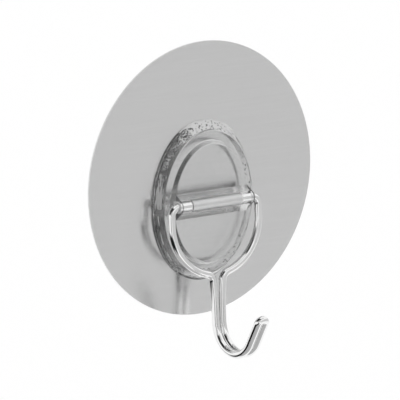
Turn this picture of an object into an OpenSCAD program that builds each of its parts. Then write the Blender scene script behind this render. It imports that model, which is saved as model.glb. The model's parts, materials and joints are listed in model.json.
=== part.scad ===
// Adhesive wall hook: a brushed round film pad, a clear oval base and a swinging hook bent from one wire.
// The origin is the middle of the adhesive's back face. The wall is the plane Y = 0, -Y points into the
// room, +Z is up and X runs along the pivot bar. All sizes are in millimetres.

/* [Pad] */
// Diameter of the brushed film pad
film_d = 70; // [50:1:100]
// Thickness of the film
film_t = 0.4; // [0.2:0.1:1]
// Thickness of the wall adhesive
adhesive_t = 0.5; // [0.2:0.1:1.5]
// Distance from the film's edge in to the adhesive's edge
adhesive_inset = 0.4; // [0.2:0.1:3]

/* [Clear base] */
// Width of the base at its foot
base_w = 30.8; // [26:0.2:44]
// Height of the base at its foot
base_h = 40.8; // [34:0.2:56]
// How far the base's middle lies below the pad's middle
base_drop = 5.6; // [0:0.2:10]
// Upright edge at the foot of the base
foot_edge = 0.4; // [0.2:0.1:1]
// Thickness of the base at its ring
ring_t = 2.75; // [2:0.05:5]
// How far the side wall leans in, measured up the height of the oval
wall_run = 2.05; // [0.5:0.05:3]
// Width of the flat ring, measured up the height of the oval
ring_w = 2.55; // [1:0.05:4]
// Height of the raised middle above the ring
rise_h = 1.2; // [0.5:0.05:2]
// How far the raised middle's wall leans in, measured up the height of the oval
rise_run = 0.8; // [0.2:0.05:1.5]
// Rounding of the shoulder between side wall and ring
shoulder_r = 0.5; // [0.2:0.05:0.8]
// Rounding at the top and the foot of the raised middle
rise_r = 0.25; // [0.1:0.05:0.4]
// Thickness of the glue between the base and the film
bond_t = 0.2; // [0.1:0.05:0.5]
// Distance from the foot of the base in to the glue's edge
bond_inset = 0.5; // [0.2:0.1:2]

/* [Pivot bar] */
// Length of the bar
bar_l = 23.2; // [20:0.1:24]
// Diameter of the round top of the bar
bar_d = 3.7; // [3.2:0.1:5]
// Width of the bar's filleted foot
bar_foot_w = 5.8; // [5:0.1:9]
// Height of the pivot axis above the raised middle
pivot_h = 1.3; // [1.2:0.05:2.5]
// How far the pivot axis lies above the middle of the base
pivot_lift = 0.5; // [-1:0.05:1]

/* [Wire hook] */
// Diameter of the wire
wire_d = 2; // [1.6:0.1:2.4]
// Gap all round between the wire and the bore that it turns in
pin_gap = 0.06; // [0.03:0.01:0.1]
// Length of each wire end inside the bar
pin_l = 3.8; // [2.5:0.1:8]
// Gap between each wire end and the bottom of its bore
pin_end_gap = 0.2; // [0.1:0.05:0.5]
// Gap between the end of the bar and the start of the wire's bend
bend_gap = 0.15; // [0.1:0.05:0.5]
// Bend radius where the wire turns out of the bar, at the wire's middle
bend_r = 1.9; // [1.6:0.1:3]
// Distance from the pivot axis down to the middle of the yoke's arc
yoke_drop = 4.65; // [3:0.05:8]
// Bend radius where the yoke turns into the neck, at the wire's middle
neck_r = 2.4; // [1.5:0.1:4]
// Radius of the long curve that draws the two wires together below the neck
draw_r = 56; // [30:1:90]
// Distance from the pivot axis down to where the two wires run side by side
draw_end = 26.95; // [24:0.1:29]
// Gap between the two wires of the shank
shank_gap = 0.16; // [0.1:0.02:0.8]
// Distance from the pivot axis down to where the hook starts to curl forward
curl_start = 30.4; // [29.5:0.05:45]
// Curl radius of the hook, at the wire's middle
curl_r = 7.4; // [5:0.1:14]
// Angle of the hook's tip off the line of the shank
tip_angle = 33; // [10:1:50]
// Straight length of the tip
tip_l = 6.8; // [3:0.1:15]
// Chamfer at each end of the wire
pin_chamfer = 0.25; // [0.1:0.05:0.5]
// Angle by which the hook stands forward of straight down
lean = 4.5; // [0:0.5:10]

/* [Hidden] */
$fn = 96;
// Points on each rounded corner of a profile
corner_steps = 4;
// How far a cut runs past the surface that it opens
overrun = 1;
// How deep the bar's foot fillets run out below the surface that they meet
fillet_sink = 0.05;
// How much wider than the wire the small ball is that closes each joint between two runs of wire
joint_swell = 0.03;

film_back = adhesive_t;
bond_back = film_back + film_t;
base_back = bond_back + bond_t;
base_r = base_h / 2;
base_top = ring_t + rise_h;
base_squeeze_share = base_w / base_h;
bond_squeeze_share = (base_w - 2 * bond_inset) / (base_h - 2 * bond_inset);
bore_d = wire_d + 2 * pin_gap;
pivot_out = base_back + base_top + pivot_h;
pivot_z = pivot_lift - base_drop;

bend_x = bar_l / 2 + bend_gap;
yoke_r = bend_x + bend_r;
shank_x = (wire_d + shank_gap) / 2;
draw_x = shank_x + draw_r;
// The neck's arc touches the yoke's arc from outside and the long curve from inside
neck_centre = circles_meet([0, -yoke_drop], yoke_r + neck_r, [draw_x, -draw_end], draw_r - neck_r);
yoke_turn = atan2(-yoke_drop - neck_centre[1], neck_centre[0]);
draw_turn = atan2(neck_centre[1] + draw_end, draw_x - neck_centre[0]);
yoke_touch = [0, -yoke_drop] + yoke_r * [cos(yoke_turn), -sin(yoke_turn)];
draw_touch = [draw_x, -draw_end] + draw_r * [-cos(draw_turn), sin(draw_turn)];
tip_start = [curl_r * (1 + cos(tip_angle)), -curl_start - curl_r * sin(tip_angle)];
tip_end = tip_start + tip_l * [sin(tip_angle), cos(tip_angle)];

// The lower of the two points at the given distances from two centres
function circles_meet(c1, d1, c2, d2) =
    let (
        span = norm(c2 - c1),
        along = (span ^ 2 + d1 ^ 2 - d2 ^ 2) / (2 * span),
        aside = sqrt(d1 ^ 2 - along ^ 2),
        unit = (c2 - c1) / span
    )
    c1 + along * unit + aside * [unit[1], -unit[0]];

// Arc points that round the corner b between a and c
function rounded_corner(a, b, c, r) =
    r == 0 ? [b] :
    let (
        u = (a - b) / norm(a - b),
        v = (c - b) / norm(c - b),
        half = acos(u * v) / 2,
        middle = b + (u + v) / norm(u + v) * r / sin(half),
        first = b + u * r / tan(half) - middle,
        last = b + v * r / tan(half) - middle,
        from = atan2(first[1], first[0]),
        swing = atan2(last[1], last[0]) - from,
        turn = swing - 360 * round(swing / 360)
    )
    [
        for (k = [0 : corner_steps])
            let (at = from + turn * k / corner_steps) middle + r * [cos(at), sin(at)]
    ];

// An outline whose corners are rounded, each by its own radius
function rounded_outline(corners, radii) =
    let (n = len(corners))
    [
        for (k = [0 : n - 1])
            each rounded_corner(corners[(k + n - 1) % n], corners[k], corners[(k + 1) % n], radii[k])
    ];

// Stands a piece up against the wall, with its own Z pointing into the room
module on_wall(out, up = 0) {
    translate([0, -out, up]) rotate([90, 0, 0]) children();
}

module wall_adhesive() {
    color("gainsboro", 0.7)
        on_wall(0) cylinder(d = film_d - 2 * adhesive_inset, h = adhesive_t);
}

module film_pad() {
    color("silver")
        on_wall(film_back) cylinder(d = film_d, h = film_t);
}

module bond_layer() {
    color("whitesmoke", 0.6)
        on_wall(bond_back, -base_drop) scale([bond_squeeze_share, 1, 1])
            cylinder(d = base_h - 2 * bond_inset, h = bond_t);
}

// Half section of the oval base: foot edge, leaning wall, flat ring and raised middle
module base_section() {
    wall_top = base_r - wall_run;
    rise_foot = wall_top - ring_w;
    rise_top = rise_foot - rise_run;
    foot = [[0, 0], [base_r, 0], [base_r, foot_edge]];
    ring = [[wall_top, ring_t], [rise_foot, ring_t]];
    rise = [[rise_top, base_top], [0, base_top]];
    polygon(rounded_outline(concat(foot, ring, rise), [0, 0, 0, shoulder_r, rise_r, rise_r, 0]));
}

// End view of the pivot bar: a round top that runs down into hollow fillets on both sides
module bar_section() {
    bar_r = bar_d / 2;
    foot = bar_foot_w / 2;
    fillet_r = (foot ^ 2 + pivot_h ^ 2 - bar_r ^ 2) / (2 * (bar_r + pivot_h));
    web_h = fillet_r + (pivot_h - fillet_r) * fillet_r / (bar_r + fillet_r);
    translate([0, pivot_h]) circle(d = bar_d);
    difference() {
        translate([-foot, -rise_h]) square([bar_foot_w, rise_h + web_h]);
        for (side = [-1, 1]) {
            translate([side * foot, fillet_r - fillet_sink]) circle(r = fillet_r);
        }
    }
}

module clear_base() {
    color("lightcyan", 0.4)
        on_wall(base_back, -base_drop) difference() {
            union() {
                scale([base_squeeze_share, 1, 1]) rotate_extrude() base_section();
                translate([-bar_l / 2, pivot_lift, base_top]) rotate([90, 0, 90])
                    linear_extrude(bar_l) bar_section();
            }
            for (side = [-1, 1]) {
                translate([side * bar_l / 2, pivot_lift, base_top + pivot_h]) rotate([0, -90 * side, 0])
                    translate([0, 0, -overrun]) cylinder(d = bore_d, h = pin_l + pin_end_gap + overrun);
            }
        }
}

// Wire bent in a circle round the origin, from one angle through a turn, in the X and Y directions
module wire_bend(r, from, turn) {
    rotate([0, 0, from]) rotate_extrude(angle = turn) translate([r, 0]) circle(d = wire_d);
}

// Straight wire up from the origin
module wire_run(l) {
    cylinder(d = wire_d, h = l);
}

// Balls that close the joints between runs of wire, each turned to the wire's heading there
module wire_joints(places, heading) {
    for (place = places) {
        translate(place) rotate([0, 90, heading]) sphere(d = wire_d + joint_swell);
    }
}

// One end of the wire in the bar, with its chamfer
module wire_pin() {
    translate([bar_l / 2 - pin_l, 0, 0]) rotate([0, 90, 0]) {
        cylinder(d1 = wire_d - 2 * pin_chamfer, d2 = wire_d, h = pin_chamfer);
        translate([0, 0, pin_chamfer]) wire_run(pin_l + bend_gap - pin_chamfer);
    }
}

// The right half of the yoke, from the bar round the base and in to the shank
module half_yoke() {
    wire_pin();
    rotate([90, 0, 0]) {
        translate([bend_x, -bend_r]) wire_bend(bend_r, 0, 90);
        translate([0, -yoke_drop]) wire_bend(yoke_r, -yoke_turn, yoke_turn);
        translate(neck_centre) wire_bend(neck_r, 180 - yoke_turn, yoke_turn - draw_turn);
        translate([draw_x, -draw_end]) wire_bend(draw_r, 180 - draw_turn, draw_turn);
        wire_joints([[bend_x, 0]], 0);
        wire_joints([[yoke_r, -bend_r], [yoke_r, -yoke_drop], [shank_x, -draw_end]], 90);
        wire_joints([yoke_touch], 90 - yoke_turn);
        wire_joints([draw_touch], 90 - draw_turn);
    }
    translate([yoke_r, 0, -yoke_drop]) wire_run(yoke_drop - bend_r);
}

// The right half of the shank, the forward curl and the straight tip
module half_curl() {
    translate([shank_x, 0, -curl_start]) wire_run(curl_start - draw_end);
    translate([shank_x, 0, 0]) rotate([90, 0, -90]) {
        translate([curl_r, -curl_start]) wire_bend(curl_r, 180, 180 - tip_angle);
        translate(tip_start) rotate([-90, 0, -tip_angle]) wire_run(tip_l);
        wire_joints([[0, -curl_start]], 90);
        wire_joints([tip_start, tip_end], 90 - tip_angle);
    }
}

// The hairpin that joins the two wires at the tip
module tip_hairpin() {
    rotate([90, 0, -90]) translate(tip_end) rotate([0, 90, -tip_angle]) wire_bend(shank_x, 0, 180);
}

module wire_hook() {
    color("gainsboro")
        translate([0, -pivot_out, pivot_z]) rotate([-lean, 0, 0]) {
            for (side = [0, 1]) {
                mirror([side, 0, 0]) {
                    half_yoke();
                    half_curl();
                }
            }
            tip_hairpin();
        }
}

wall_adhesive();
film_pad();
bond_layer();
clear_base();
wire_hook();
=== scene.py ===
"""Looks of an adhesive wall hook: brushed film pad, clear oval base and swinging chromed wire hook."""

import json
import math
import random

import bmesh
import bpy
from mathutils import Matrix, Vector


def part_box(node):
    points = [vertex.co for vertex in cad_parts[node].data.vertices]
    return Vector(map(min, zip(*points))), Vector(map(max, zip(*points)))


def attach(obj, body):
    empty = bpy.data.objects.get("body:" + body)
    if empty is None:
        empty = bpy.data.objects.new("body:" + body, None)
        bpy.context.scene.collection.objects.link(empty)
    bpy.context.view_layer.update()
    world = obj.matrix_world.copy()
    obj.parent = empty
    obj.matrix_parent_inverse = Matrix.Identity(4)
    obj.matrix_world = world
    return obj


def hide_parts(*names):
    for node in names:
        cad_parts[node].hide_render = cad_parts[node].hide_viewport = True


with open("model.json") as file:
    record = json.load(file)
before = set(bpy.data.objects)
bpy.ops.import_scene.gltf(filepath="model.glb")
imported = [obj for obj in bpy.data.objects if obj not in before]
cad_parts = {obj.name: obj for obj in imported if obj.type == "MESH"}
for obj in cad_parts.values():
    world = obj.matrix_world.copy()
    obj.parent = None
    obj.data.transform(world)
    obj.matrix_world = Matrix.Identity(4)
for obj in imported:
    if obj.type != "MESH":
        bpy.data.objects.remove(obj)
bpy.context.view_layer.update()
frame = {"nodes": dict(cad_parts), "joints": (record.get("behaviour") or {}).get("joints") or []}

MM = 0.001

# Camera, fitted to the photo: angles in degrees, distances in metres, the pad's place and scale in pixels
CAMERA_AZIMUTH = -37.413
CAMERA_ELEVATION = 12.396
CAMERA_ROLL = 0.608
CAMERA_DISTANCE = 1000 * MM
CAMERA_REACH = 100
PICTURE_PIXELS = 400
PAD_MIDDLE_PIXEL = (201.826, 178.268)
PIXELS_PER_MM = 3.981
SENSOR_WIDTH = 36

# Floor, in metres, and cards that the gloss mirrors: name, angle from the camera's side, angle upwards,
# width and height in degrees, grey and distance in metres
FLOOR_HALF = 4.0
FLOOR_DEPTH = 0.3
CARDS = (
    ("dark_upper_left", -66, 44, 112, 66, 0.02, 0.40),
    ("dark_upper_front", -16, 48, 60, 28, 0.04, 0.38),
    ("dark_lower_left", -50, -42, 116, 46, 0.01, 0.34),
    ("dark_low_side", -76, -58, 80, 36, 0.05, 0.36),
    ("grey_middle", -14, -11, 24, 30, 0.30, 0.30),
    ("grey_front", -6, 18, 50, 40, 0.52, 0.44),
    ("grey_right", 76, -5, 140, 60, 0.62, 0.60),
    ("grey_upper_right", 46, 54, 44, 40, 0.70, 0.50),
    ("grey_below", -10, -72, 84, 60, 0.46, 0.28),
)
CARD_FADE_SHARE = 0.3

# Film pad, in millimetres
FILM_SEGMENTS = 288
FILM_EDGE_ROLL = 0.08

# Clear base, in millimetres: heights from its back face, runs measured up the height of the oval
BASE_SEGMENTS = 192
FOOT_EDGE = 0.4
RING_T = 2.75
WALL_RUN = 2.05
RING_W = 2.4
RISE_H = 1.2
RISE_RUN = 0.8
FOOT_R = 0.1
SHOULDER_R = 0.5
RISE_R = 0.45
ROUND_STEPS = 6

# Glue under the base, in millimetres. Between two angles from the right it reaches the base's rim, with
# a soft stretch at each end, and elsewhere its edge wanders in waves, counted once round the base.
GLUE_SINK = 0.01
GLUE_GAP = 0.03
GLUE_SEALED = (40, 118, 12)
GLUE_EDGE = 0.75
GLUE_WAVE = 0.35
GLUE_WAVES = (7, 19, 41)

# Glue squeezed out at the top, in millimetres, with bumps: angle from the right, spread and size of each
BEAD_W = 0.12
BEAD_H = 0.55
BEAD_LAP = 0.05
BEAD_BUMPS = ((56, 14, 0.65), (84, 10, 0.15), (104, 8, 0.2))
BEAD_LEAST_SHARE = 0.05
BEAD_RIPPLE_SHARE = 0.3
BEAD_SHOULDER_SHARES = (0.6, 0.3)

# Frothy glue smeared on the wall: name, angles from the right, heights, noise value up to which it is clear,
# lightness and how far it is drawn out into upright streaks. The lightness is partly painted light and shade:
# lighter at the top and darker on the left and low down. Then its distance from the wall and thickness in
# millimetres, and the step in noise over which a hole's edge fades.
FROTH = (
    ("froth_top", 50, 111, 0.45, 2.5, 0.25, 0.64, 1),
    ("froth_side", 110, 126, 0.5, 2.3, 0.50, 0.56, 1),
    ("froth_left", 124, 150, 0.9, 1.9, 0.53, 0.40, 1),
    ("froth_streaks", 155, 181, 0.7, 2.3, 0.46, 0.34, 12),
    ("froth_line", 186, 226, 1.2, 1.45, 0.40, 0.40, 12),
    ("froth_low", 226, 244, 0.45, 1.7, 0.54, 0.36, 1),
)
FROTH_LIFT = 0.05
FROTH_T = 0.04
FROTH_FADE = 0.04
FROTH_STEPS = 8

# Bubbles in the glue: angle from the right, spread and number of each cluster, then sizes in millimetres
# and how far inside the glue's edge they lie
BUBBLE_CLUSTERS = ((88, 40, 70), (126, 18, 80), (150, 20, 60), (232, 14, 40), (20, 30, 20), (290, 60, 30))
BUBBLE_SEED = 11
BUBBLE_R = (0.09, 0.26)
BUBBLE_T = 0.18
BUBBLE_BAND = (0.3, 1.9)

# Pivot bar, in millimetres: its foot reaches further below the axis than above, and stops short of the ends,
# which are smaller plates
BAR_L = 23.2
BAR_D = 3.7
BAR_FOOT = (2.9, 3.7)
FLANK_SINK = 0.05
FOOT_INSET = 0.45
PLATE_L = 1.0
PLATE_D = 3.1
PLATE_FOOT = 1.2
PIVOT_H = 1.3
BORE_D = 2.12
CORE_D = 2.5
CORE_LIFT = 0.15
CORE_GAP = 0.02
BAR_STEPS = 40
BORE_STEPS = 64

# Wire hook, in millimetres and degrees
WIRE_D = 2.0
WIRE_SIDES = 40
WIRE_STEP = 0.3
WIRE_TURN_STEP = 5
WIRE_LEAST_STEPS = 6
PIN_L = 3.8
PIN_END_GAP = 0.03
PIN_CHAMFER = 0.06
BEND_START = 11.35
BEND_R = 2.3
YOKE_DROP = 4.65
NECK_R = 2.4
DRAW_R = 56.0
DRAW_END = 26.95
SHANK_GAP = 0.16
CURL_START = 30.4
CURL_R = 7.4
TIP_ANGLE = 33.0
TIP_L = 6.8
TIP_STEPS = 10
LEAN = 4.5

# Shading: angles in degrees above which an edge stays crisp, how square to an axis a face has to be to count
# as facing along it, the faces' materials by number, and the values between which noise does most of its work
CREASE = 30
BASE_CREASE = 24
BEAD_CREASE = 60
FACING_SHARE = 0.9
RIM_MATERIAL = 1
DULL_MATERIAL = 1
# material of the ends of the bar's foot, painted dark as shade
PAINTED_SHADE_MATERIAL = 2
NOISE_LOW = 0.3
NOISE_HIGH = 0.7

# Worked out from the frame and from the values above
film_low, film_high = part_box("film_pad")
base_low, base_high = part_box("clear_base")
pivot = Vector(frame["joints"][0]["pos_m"])
base_middle_z = (base_low.z + base_high.z) / 2
base_squeeze = (base_high.x - base_low.x) / (base_high.z - base_low.z)
base_r = (base_high.z - base_low.z) / 2 / MM
base_back = base_high.y
film_h = (base_back - film_low.y) / MM
bore_end = BAR_L / 2 - PIN_L - PIN_END_GAP


# Shapes


def add_object(name, bm):
    """A new object from a bmesh, in the row frame."""
    mesh = bpy.data.meshes.new(name)
    bmesh.ops.recalc_face_normals(bm, faces=bm.faces)
    bm.to_mesh(mesh)
    bm.free()
    made = bpy.data.objects.new(name, mesh)
    bpy.context.scene.collection.objects.link(made)
    return made


def add_skin(name, rings):
    """A new object with faces between rings of points, each ring closed on itself, and closed ends."""
    bm = bmesh.new()
    loops = [[bm.verts.new(p) for p in ring] for ring in rings]
    for low, high in zip(loops, loops[1:]):
        count = len(low)
        for k in range(count):
            bm.faces.new((low[k], low[(k + 1) % count], high[(k + 1) % count], high[k]))
    bm.faces.new(loops[0])
    bm.faces.new(loops[-1])
    return add_object(name, bm)


def add_panel(name, half_w, half_h):
    """A new flat panel round its own middle."""
    bm = bmesh.new()
    corners = [(-half_w, -half_h), (half_w, -half_h), (half_w, half_h), (-half_w, half_h)]
    bm.faces.new([bm.verts.new((x, y, 0)) for x, y in corners])
    return add_object(name, bm)


def smooth(piece, angle=CREASE):
    """Smooth shading with crisp edges above an angle, and flat faces kept flat."""
    piece.data.polygons.foreach_set("use_smooth", [True] * len(piece.data.polygons))
    piece.data.set_sharp_from_angle(angle=math.radians(angle))
    weighted = piece.modifiers.new("flat_faces", "WEIGHTED_NORMAL")
    weighted.keep_sharp = True
    weighted.weight = 100
    return piece


def combine(piece, other, operation):
    """Adds or cuts away another object, which is then deleted."""
    cut = piece.modifiers.new("combine", "BOOLEAN")
    cut.object = other
    cut.operation = operation
    cut.solver = "EXACT"
    graph = bpy.context.evaluated_depsgraph_get()
    mesh = bpy.data.meshes.new_from_object(piece.evaluated_get(graph))
    piece.modifiers.remove(cut)
    piece.data = mesh
    bpy.data.objects.remove(other)


def full_turn(count):
    """Angles of a number of even steps round a circle."""
    return [2 * math.pi * k / count for k in range(count)]


def part_turn(low, high):
    """Angles of even steps between two angles in degrees."""
    return [math.radians(low + (high - low) * k / BASE_SEGMENTS) for k in range(BASE_SEGMENTS + 1)]


def arc(centre, radius, start, turn, steps):
    """Points on a circle, from one angle through a turn, both in degrees."""
    angles = [math.radians(start + turn * k / steps) for k in range(steps + 1)]
    return [(centre[0] + radius * math.cos(a), centre[1] + radius * math.sin(a)) for a in angles]


def rounded(corners, radii):
    """An outline whose corners are rounded, each by its own radius."""
    points = []
    for k, (corner, radius) in enumerate(zip(corners, radii)):
        b = Vector(corner)
        if radius == 0:
            points.append(b)
            continue
        u = (Vector(corners[k - 1]) - b).normalized()
        v = (Vector(corners[(k + 1) % len(corners)]) - b).normalized()
        half = u.angle(v) / 2
        middle = b + (u + v).normalized() * (radius / math.sin(half))
        first = b + u * (radius / math.tan(half)) - middle
        last = b + v * (radius / math.tan(half)) - middle
        points += [middle + radius * first.slerp(last, n / ROUND_STEPS) for n in range(ROUND_STEPS + 1)]
    return points


def ease(value, low, high):
    """A soft step from 0 at low to 1 at high."""
    share = min(1.0, max(0.0, (value - low) / (high - low)))
    return share * share * (3 - 2 * share)


# Film pad


def make_film():
    """The pad: a thin disc with a slightly rolled cut edge."""
    radius = film_high.x
    roll = FILM_EDGE_ROLL * MM
    profile = [(radius - roll, film_high.y), (radius, film_high.y - roll)]
    profile += [(radius, film_low.y + roll), (radius - roll, film_low.y)]
    turns = full_turn(FILM_SEGMENTS)
    rings = [[Vector((r * math.cos(t), y, r * math.sin(t))) for t in turns] for r, y in profile]
    return smooth(add_skin("film_face", rings))


def pale_rim(film):
    """Gives the film's cut edge its own material."""
    for face in film.data.polygons:
        if abs(face.normal.y) < FACING_SHARE:
            face.material_index = RIM_MATERIAL


# Clear base and glue


def on_oval(r, turn, h):
    """A point of the base: radius up the oval's height, angle from the right and height from its back."""
    across = r * base_squeeze * math.cos(turn)
    return Vector((across * MM, base_back - h * MM, base_middle_z + r * math.sin(turn) * MM))


def wall_r(h):
    """Radius of the wall's outside at a height, in millimetres up the height of the oval."""
    lean = WALL_RUN / (RING_T - FOOT_EDGE)
    return base_r - max(0.0, h - FOOT_EDGE) * lean


def sealed(turn):
    """Share by which the glue reaches the rim of the base at an angle: all of it at the top."""
    low, high, soft = GLUE_SEALED
    angle = math.degrees(turn)
    return ease(angle, low, low + soft) * (1 - ease(angle, high - soft, high))


def ripple(turn, shift):
    """Uneven waves round the base, from -1 to 1."""
    return sum(math.sin(waves * turn + shift * waves) for waves in GLUE_WAVES) / len(GLUE_WAVES)


def glue_edge(turn):
    """Radius of the glue at an angle, in millimetres up the height of the oval: an edge that wanders."""
    inside = (1 - sealed(turn)) * (GLUE_EDGE + GLUE_WAVE * ripple(turn, 1))
    return base_r - FOOT_R - GLUE_SINK - inside


def add_bubbles(base):
    """Flat voids in the clear body, in clusters along the glue's edge."""
    random.seed(BUBBLE_SEED)
    middle = film_h + BUBBLE_T + 2 * GLUE_SINK
    bm = bmesh.new()
    for angle, spread, count in BUBBLE_CLUSTERS:
        for _ in range(count):
            turn = math.radians(random.gauss(angle, spread / 2))
            place = on_oval(glue_edge(turn) - random.uniform(*BUBBLE_BAND), turn, middle)
            size = random.uniform(*BUBBLE_R) * MM
            shape = Matrix.Translation(place) @ Matrix.Diagonal((size, BUBBLE_T * MM, size, 1))
            bmesh.ops.create_icosphere(bm, subdivisions=2, radius=1.0, matrix=shape)
    bmesh.ops.recalc_face_normals(bm, faces=bm.faces)
    bmesh.ops.reverse_faces(bm, faces=bm.faces)
    bm.from_mesh(base.data)
    bm.to_mesh(base.data)
    bm.free()


def add_bar(name, outline, places):
    """A bar along the pivot: an outline of heights over the raised middle, swept through some places."""
    plateau = base_back - (RING_T + RISE_H) * MM
    rings = []
    for x in places:
        rings.append([Vector((x * MM, plateau - h * MM, pivot.z + up * MM)) for up, h in outline])
    return add_skin(name, rings)


def flank_lift(foot):
    """Angle at which a straight flank from the foot meets the bar's round."""
    return math.degrees(math.acos(BAR_D / 2 / math.hypot(foot, PIVOT_H)) - math.atan2(PIVOT_H, foot))


def make_body():
    """The oval foot, ring and raised middle of the moulding.

    The clear body of the glue is drawn with it, down to the film, so that no air shows between them.
    """
    wall_top = base_r - WALL_RUN
    rise_foot = wall_top - RING_W
    rise_top = rise_foot - RISE_RUN
    top = RING_T + RISE_H
    corners = [(0, 0), (base_r, 0), (base_r, FOOT_EDGE), (wall_top, RING_T)]
    corners += [(rise_foot, RING_T), (rise_top, top), (0, top)]
    section = rounded(corners, [0, FOOT_R, FOOT_R, SHOULDER_R, RISE_R, RISE_R, 0])[1:-1]
    turns = full_turn(BASE_SEGMENTS)
    rings = [[on_oval(glue_edge(t), t, h) for t in turns] for h in (film_h - GLUE_SINK, 0)]
    rings += [[on_oval(r, t, h) for t in turns] for r, h in section]
    return add_skin("clear_moulding", rings)


def make_base():
    """The clear moulding: its body, and the pivot bar across it with a plate and a bore at each end."""
    base = make_body()
    axis = (0, PIVOT_H)
    upper, lower = BAR_FOOT
    start, end = flank_lift(upper), 180 - flank_lift(lower)
    outline = [(upper, -FLANK_SINK)] + arc(axis, BAR_D / 2, start, end - start, BAR_STEPS)
    outline += [(-lower, -FLANK_SINK), (-lower, -RISE_H), (upper, -RISE_H)]
    inner = BAR_L / 2 - FOOT_INSET
    combine(base, add_bar("bar", outline, (-inner, -bore_end, bore_end, inner)), "UNION")
    plate = arc(axis, PLATE_D / 2, 0, 180, BAR_STEPS) + [(-PLATE_FOOT, -RISE_H), (PLATE_FOOT, -RISE_H)]
    bore = arc(axis, BORE_D / 2, 0, 360, BORE_STEPS)[:-1]
    for side in (-1, 1):
        plate_ends = (side * (BAR_L / 2 - PLATE_L), side * BAR_L / 2)
        combine(base, add_bar("plate", plate, plate_ends), "UNION")
        combine(base, add_bar("bore", bore, (side * BAR_L, side * bore_end)), "DIFFERENCE")
    add_bubbles(base)
    return smooth(base, BASE_CREASE)


def dull_faces(base):
    """Gives the bar's ends and bore bottoms, and the ends of its foot, their own materials; the foot's ends
    get painted shade.
    """
    near = FOOT_INSET / 2
    for face in base.data.polygons:
        along = abs(face.center.x) / MM
        if abs(face.normal.x) > FACING_SHARE:
            if min(abs(along - BAR_L / 2), abs(along - bore_end)) < near:
                face.material_index = DULL_MATERIAL
            elif abs(along - BAR_L / 2 + FOOT_INSET) < near:
                # the ends of the foot get the plastic painted dark as shade
                face.material_index = PAINTED_SHADE_MATERIAL


def make_core():
    """A rod inside the clear bar, between its bores: no part of the object, but painted light that makes the
    bar bright.
    """
    end = bore_end - CORE_GAP
    outline = arc((0, PIVOT_H + CORE_LIFT), CORE_D / 2, 0, 360, BORE_STEPS)[:-1]
    return smooth(add_bar("bar_core", outline, (-end, end)))


def make_glue():
    """The cloudy part of the glue under the base: a thin sheet inside its edge."""
    turns = full_turn(BASE_SEGMENTS)
    levels = film_h + GLUE_GAP, -GLUE_GAP
    rings = [[on_oval(glue_edge(t) - GLUE_GAP, t, h) for t in turns] for h in levels]
    return smooth(add_skin("glue_sheet", rings))


def make_froth(name, low, high, bottom, top):
    """A thin patch of frothy glue on the wall, between two angles and two heights."""
    heights = [bottom + (top - bottom) * n / FROTH_STEPS for n in range(FROTH_STEPS + 1)]
    wall = [(wall_r(h), h) for h in heights]
    loop = [(r + FROTH_LIFT, h) for r, h in wall]
    loop += [(r + FROTH_LIFT + FROTH_T, h) for r, h in reversed(wall)]
    rings = [[on_oval(r, turn, h) for r, h in loop] for turn in part_turn(low, high)]
    return smooth(add_skin(name, rings))


def make_bead():
    """Glue squeezed out along the top of the base: a small uneven bead on the film, against the foot."""
    low, high, _ = GLUE_SEALED
    shoulder_out, shoulder_up = BEAD_SHOULDER_SHARES
    rings = []
    for turn in part_turn(low, high):
        angle = math.degrees(turn)
        bulge = sum(size * math.exp(-(((angle - at) / spread) ** 2)) for at, spread, size in BEAD_BUMPS)
        uneven = ripple(turn, 0)
        share = max(sealed(turn), BEAD_LEAST_SHARE)
        out = share * (BEAD_W * (1 + uneven) + bulge)
        top = share * BEAD_H * (1 + BEAD_RIPPLE_SHARE * uneven)
        wall = wall_r(top)
        loop = [(base_r + out, film_h), (base_r + shoulder_out * out, film_h + shoulder_up * top)]
        loop += [(wall + BEAD_LAP, top), (wall - BEAD_LAP, top), (base_r - BEAD_LAP, film_h)]
        rings.append([on_oval(r, turn, h) for r, h in loop])
    return smooth(add_skin("glue_bead", rings), BEAD_CREASE)


# Wire hook


def circles_meet(c1, d1, c2, d2):
    """The lower of the two points at the given distances from two centres."""
    between = c2 - c1
    span = between.length
    along = (span**2 + d1**2 - d2**2) / (2 * span)
    aside = math.sqrt(d1**2 - along**2)
    unit = between / span
    return c1 + along * unit + aside * Vector((unit.y, -unit.x))


def arc_steps(radius, turn):
    """Enough steps for an arc, by its length and by its turn."""
    by_length = math.ceil(abs(math.radians(turn)) * radius / WIRE_STEP)
    return max(WIRE_LEAST_STEPS, by_length, math.ceil(abs(turn) / WIRE_TURN_STEP))


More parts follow.
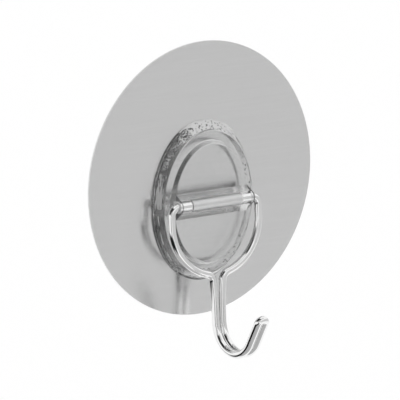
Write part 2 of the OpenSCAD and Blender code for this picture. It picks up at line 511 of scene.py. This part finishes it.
def wire_line():
    """Centre line of the whole wire, from one end in the bar to the other."""
    yoke_r = BEND_START + BEND_R
    shank_x = (WIRE_D + SHANK_GAP) / 2
    draw_x = shank_x + DRAW_R
    yoke_middle = Vector((0, -YOKE_DROP))
    draw_middle = Vector((draw_x, -DRAW_END))
    neck_middle = circles_meet(yoke_middle, yoke_r + NECK_R, draw_middle, DRAW_R - NECK_R)
    yoke_turn = math.degrees(math.atan2(-YOKE_DROP - neck_middle.y, neck_middle.x))
    draw_turn = math.degrees(math.atan2(neck_middle.y + DRAW_END, draw_x - neck_middle.x))
    neck_turn = yoke_turn - draw_turn
    flat = arc((BEND_START, -BEND_R), BEND_R, 90, -90, arc_steps(BEND_R, 90))
    flat += arc(yoke_middle, yoke_r, 0, -yoke_turn, arc_steps(yoke_r, yoke_turn))
    flat += arc(neck_middle, NECK_R, 180 - yoke_turn, neck_turn, arc_steps(NECK_R, neck_turn))[1:]
    flat += arc(draw_middle, DRAW_R, 180 - draw_turn, draw_turn, arc_steps(DRAW_R, draw_turn))[1:]
    pin_end = BAR_L / 2 - PIN_L
    half = [Vector((pin_end, 0, 0)), Vector((pin_end + PIN_CHAMFER, 0, 0))]
    half += [Vector((x, 0, y)) for x, y in flat]
    curl_turn = 180 - TIP_ANGLE
    curl = arc((CURL_R, -CURL_START), CURL_R, 180, curl_turn, arc_steps(CURL_R, curl_turn))
    half += [Vector((shank_x, -out, up)) for out, up in curl]
    along = Vector((0, -math.sin(math.radians(TIP_ANGLE)), math.cos(math.radians(TIP_ANGLE))))
    tip = half[-1] + TIP_L * along
    for across, ahead in arc((0, 0), shank_x, 0, 90, TIP_STEPS):
        half.append(Vector((across, tip.y, tip.z)) + ahead * along)
    other = [Vector((-p.x, p.y, p.z)) for p in reversed(half[:-1])]
    lean = Matrix.Rotation(math.radians(-LEAN), 3, "X")
    return [pivot + lean @ p * MM for p in half + other]


def make_wire():
    """The hook: one round wire swept along its line, with chamfered ends."""
    line = wire_line()
    last = len(line) - 1
    tangents = [(line[min(k + 1, last)] - line[max(k - 1, 0)]).normalized() for k in range(len(line))]
    side = tangents[0].orthogonal().normalized()
    angles = full_turn(WIRE_SIDES)
    end_r = WIRE_D / 2 - PIN_CHAMFER
    rings = []
    for k, (place, ahead) in enumerate(zip(line, tangents)):
        side = (side - ahead * side.dot(ahead)).normalized()
        up = ahead.cross(side)
        r = (end_r if k in (0, last) else WIRE_D / 2) * MM
        rings.append([place + r * (math.cos(a) * side + math.sin(a) * up) for a in angles])
    return smooth(add_skin("chrome_wire", rings))


# Materials


def material(name, **values):
    """A new material and its shader, with plain values set on the shader's own sockets."""
    made = bpy.data.materials.new(name)
    made.use_nodes = True
    shader = made.node_tree.nodes["Principled BSDF"]
    for socket, value in values.items():
        shader.inputs[socket.replace("_", " ")].default_value = value
    return made, shader


def node(owner, kind, **inputs):
    """A new node with its input values."""
    made = owner.node_tree.nodes.new("ShaderNode" + kind)
    for socket, value in inputs.items():
        made.inputs[socket.replace("_", " ")].default_value = value
    return made


def scaled_place(owner, scale):
    """The place on the object, scaled along each axis."""
    mapping = node(owner, "Mapping", Scale=scale)
    owner.node_tree.links.new(node(owner, "TexCoord").outputs["Object"], mapping.inputs["Vector"])
    return mapping.outputs["Vector"]


def noise(owner, per_mm, stretch=(1, 1, 1), detail=3.0):
    """Noise in the row frame, with so many bumps per millimetre; stretch slows it along an axis."""
    made = node(owner, "TexNoise", Scale=1.0, Detail=detail, Roughness=0.6)
    place = scaled_place(owner, [per_mm / MM / s for s in stretch])
    owner.node_tree.links.new(place, made.inputs["Vector"])
    return made.outputs["Fac"]


def ramp(owner, value, low, high, start, end):
    """Maps a value from low..high to start..end."""
    made = node(owner, "MapRange", From_Min=low, From_Max=high, To_Min=start, To_Max=end)
    owner.node_tree.links.new(value, made.inputs["Value"])
    return made.outputs["Result"]


def vary(owner, shader, socket, value, start, end, low=NOISE_LOW, high=NOISE_HIGH):
    """Moves one of the shader's values from start to end as a value goes from low to high."""
    owner.node_tree.links.new(ramp(owner, value, low, high, start, end), shader.inputs[socket])


def paint(owner, shader, value, first, last, low=NOISE_LOW, high=NOISE_HIGH):
    """Moves the base colour from the first to the last as a value goes from low to high."""
    made = node(owner, "ValToRGB")
    made.color_ramp.elements[0].color = (*first, 1)
    made.color_ramp.elements[1].color = (*last, 1)
    owner.node_tree.links.new(ramp(owner, value, low, high, 0, 1), made.inputs["Fac"])
    owner.node_tree.links.new(made.outputs["Color"], shader.inputs["Base Color"])


def bump(owner, shader, value, depth):
    """Bump of a real depth in millimetres."""
    made = node(owner, "Bump", Strength=1.0, Distance=depth * MM)
    owner.node_tree.links.new(value, made.inputs["Height"])
    owner.node_tree.links.new(made.outputs["Normal"], shader.inputs["Normal"])


def grey(level):
    """A grey colour."""
    return level, level, level


def brushed_silver():
    """Film with a brushed metallic face: fine lines across the pad, sharp along them and blurred across."""
    made, shader = material("brushed_silver", Metallic=1.0, Anisotropic=0.6, Anisotropic_Rotation=0.25)
    lines = noise(made, per_mm=3.0, stretch=(60, 1, 1), detail=2.0)
    paint(made, shader, lines, first=grey(0.806), last=grey(0.834))
    vary(made, shader, "Roughness", lines, start=0.19, end=0.23)
    return made


def cut_film():
    """The film's cut edge, where the plastic shows pale."""
    made, shader = material("cut_film", Roughness=0.6)
    paint(made, shader, noise(made, per_mm=1.0), first=grey(0.62), last=grey(0.72))
    return made


def clear_plastic():
    """Clear moulded plastic with a faint cloudiness."""
    made, shader = material("clear_plastic", Transmission_Weight=1.0, IOR=1.52, Roughness=0.0)
    cloud = noise(made, per_mm=0.25, detail=1.0)
    paint(made, shader, cloud, first=(0.985, 0.99, 0.99), last=grey(1.0))
    return made


def dull_plastic(name, dark, light, clear):
    """The plastic where it looks dull on the ends of the bar, and painted dark as shade on the ends of its
    foot.
    """
    made, shader = material(name, Transmission_Weight=clear, IOR=1.52, Roughness=0.4)
    paint(made, shader, noise(made, per_mm=1.5), first=grey(dark), last=grey(light))
    return made


def painted_light_core():
    """Bright rough metal for the rod in the bar, painted light which looks like cloudy plastic through the
    clear bar.
    """
    made, shader = material("painted_light_core", Metallic=1.0)
    cloud = noise(made, per_mm=0.8, stretch=(6, 1, 1))
    paint(made, shader, cloud, first=grey(0.88), last=grey(0.95))
    vary(made, shader, "Roughness", cloud, start=0.36, end=0.44)
    return made


def chrome():
    """Bright plated wire with a little haze."""
    made, shader = material("chrome", Metallic=1.0)
    haze = noise(made, per_mm=0.6)
    paint(made, shader, haze, first=grey(0.86), last=grey(0.92))
    vary(made, shader, "Roughness", haze, start=0.03, end=0.08)
    return made


def clear_gel():
    """Wall adhesive: a pale gel with a dimpled skin."""
    made, shader = material("clear_gel", Coat_Weight=0.4)
    mottle = noise(made, per_mm=0.5)
    paint(made, shader, mottle, first=(0.62, 0.63, 0.62), last=(0.76, 0.77, 0.76))
    vary(made, shader, "Roughness", mottle, start=0.2, end=0.4)
    bump(made, shader, noise(made, per_mm=1.2), depth=0.03)
    return made


def clear_glue():
    """Glue between base and film, nearly clear with a cloudy grain."""
    made, shader = material("clear_glue", Roughness=0.3)
    grain = noise(made, per_mm=0.8)
    paint(made, shader, grain, first=grey(0.7), last=grey(0.9))
    vary(made, shader, "Alpha", grain, start=0.0, end=0.03, low=0.4, high=0.8)
    return made


def frothy_glue_with_painted_light(name, clear, light, streak):
    """Pale froth with clear holes and dark pits; clear sets where the noise leaves a hole; light is partly
    painted light.
    """
    made, shader = material(name, Roughness=0.4)
    stretch = (1, 1, streak)
    pits = noise(made, per_mm=1.7, stretch=stretch, detail=1.0)
    # painted light and shade in part: the froth's lightness changes from patch to patch, lighter at the top
    paint(made, shader, pits, first=grey(light), last=grey(0.08), low=0.58, high=0.62)
    holes = noise(made, per_mm=2.0, stretch=stretch, detail=2.0)
    vary(made, shader, "Alpha", holes, start=0, end=1, low=clear, high=clear + FROTH_FADE)
    return made


def cloudy_glue():
    """Squeezed-out glue, full of fine bubbles."""
    made, shader = material("cloudy_glue", Roughness=0.35)
    froth = noise(made, per_mm=1.6)
    paint(made, shader, froth, first=grey(0.56), last=grey(0.70), low=0.35, high=0.65)
    bump(made, shader, froth, depth=0.05)
    return made


# Stage, light and camera


def outward(around, above):
    """Direction away from the object, by its angles in degrees round the upright axis and upwards."""
    azimuth, elevation = math.radians(around), math.radians(above)
    level = math.cos(elevation)
    return Vector((math.sin(azimuth) * level, -math.cos(azimuth) * level, math.sin(elevation)))


def make_camera():
    """The camera at the photo's viewing angle."""
    azimuth, roll = math.radians(CAMERA_AZIMUTH), math.radians(CAMERA_ROLL)
    back = outward(CAMERA_AZIMUTH, CAMERA_ELEVATION)
    level = Vector((math.cos(azimuth), math.sin(azimuth), 0))
    upright = back.cross(level)
    right = math.cos(roll) * level + math.sin(roll) * upright
    up = math.cos(roll) * upright - math.sin(roll) * level
    aside = (PAD_MIDDLE_PIXEL[0] - PICTURE_PIXELS / 2) / PIXELS_PER_MM * MM
    above = (PICTURE_PIXELS / 2 - PAD_MIDDLE_PIXEL[1]) / PIXELS_PER_MM * MM
    pad_middle = Vector((0, film_low.y, 0))
    place = pad_middle + back * CAMERA_DISTANCE - right * aside - up * above
    lens = bpy.data.cameras.new("camera")
    lens.sensor_width = SENSOR_WIDTH
    lens.lens = PIXELS_PER_MM / MM * CAMERA_DISTANCE * SENSOR_WIDTH / PICTURE_PIXELS
    lens.clip_end = CAMERA_REACH
    camera = bpy.data.objects.new("camera", lens)
    bpy.context.scene.collection.objects.link(camera)
    axes = Matrix((right, up, back)).transposed()
    camera.matrix_world = Matrix.Translation(place) @ axes.to_4x4()
    bpy.context.scene.camera = camera


def make_world():
    """A plain white surround."""
    world = bpy.data.worlds.new("studio")
    world.use_nodes = True
    background = world.node_tree.nodes["Background"]
    background.inputs["Color"].default_value = (1, 1, 1, 1)
    background.inputs["Strength"].default_value = 1.0
    bpy.context.scene.world = world


def make_floor():
    """A plain white floor below the hook."""
    floor = add_panel("floor", FLOOR_HALF, FLOOR_HALF)
    floor.matrix_world = Matrix.Translation((0, 0, -FLOOR_DEPTH))
    floor.data.materials.append(material("floor", Base_Color=(1, 1, 1, 1), Roughness=0.9)[0])


def make_card(name, around, above, width, height, level, distance):
    """A soft-edged oval card, placed by its angles from the camera's side.

    It is seen only in gloss and through glass.
    """
    out = outward(CAMERA_AZIMUTH + around, above)
    half_w = distance * math.tan(math.radians(width / 2))
    half_h = distance * math.tan(math.radians(height / 2))
    card = add_panel(name, half_w, half_h)
    facing = out.to_track_quat("Z", "Y").to_matrix().to_4x4()
    card.matrix_world = Matrix.Translation(out * distance) @ facing
    made, shader = material(name, Base_Color=(*grey(level), 1), Roughness=1.0, Specular_IOR_Level=0.0)
    fade = node(made, "TexGradient")
    fade.gradient_type = "SPHERICAL"
    made.node_tree.links.new(scaled_place(made, (1 / half_w, 1 / half_h, 1)), fade.inputs["Vector"])
    vary(made, shader, "Alpha", fade.outputs["Fac"], start=0, end=1, low=0, high=CARD_FADE_SHARE)
    card.data.materials.append(made)
    card.visible_camera = False
    card.visible_diffuse = False
    card.visible_shadow = False


# The dressed part

film = make_film()
film.data.materials.append(brushed_silver())
film.data.materials.append(cut_film())
pale_rim(film)
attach(film, "base")
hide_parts("film_pad")

base = make_base()
base.data.materials.clear()
base.data.materials.append(clear_plastic())
base.data.materials.append(dull_plastic("dull_plastic", dark=0.90, light=0.96, clear=0.5))
# painted shade: dark, opaque plastic on the ends of the bar's foot
base.data.materials.append(dull_plastic("painted_shade_plastic", dark=0.12, light=0.20, clear=0.0))
dull_faces(base)
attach(base, "base")
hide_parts("clear_base")

core = make_core()
# painted light: a bright rod inside the clear bar
core.data.materials.append(painted_light_core())
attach(core, "base")

wire = make_wire()
wire.data.materials.append(chrome())
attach(wire, "hook")
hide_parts("wire_hook")

glue = make_glue()
glue.data.materials.append(clear_glue())
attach(glue, "base")
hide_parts("bond_layer")

for name, low, high, bottom, top, clear, light, streak in FROTH:
    froth = make_froth(name, low, high, bottom, top)
    # each patch's froth is partly painted light and shade through its lightness
    froth.data.materials.append(frothy_glue_with_painted_light(name, clear, light, streak))
    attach(froth, "base")

bead = make_bead()
bead.data.materials.append(cloudy_glue())
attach(bead, "base")

adhesive = frame["nodes"]["wall_adhesive"]
adhesive.data.materials.clear()
adhesive.data.materials.append(clear_gel())

make_camera()
make_world()
make_floor()
for card in CARDS:
    make_card(*card)

bpy.context.scene.view_settings.view_transform = "Standard"
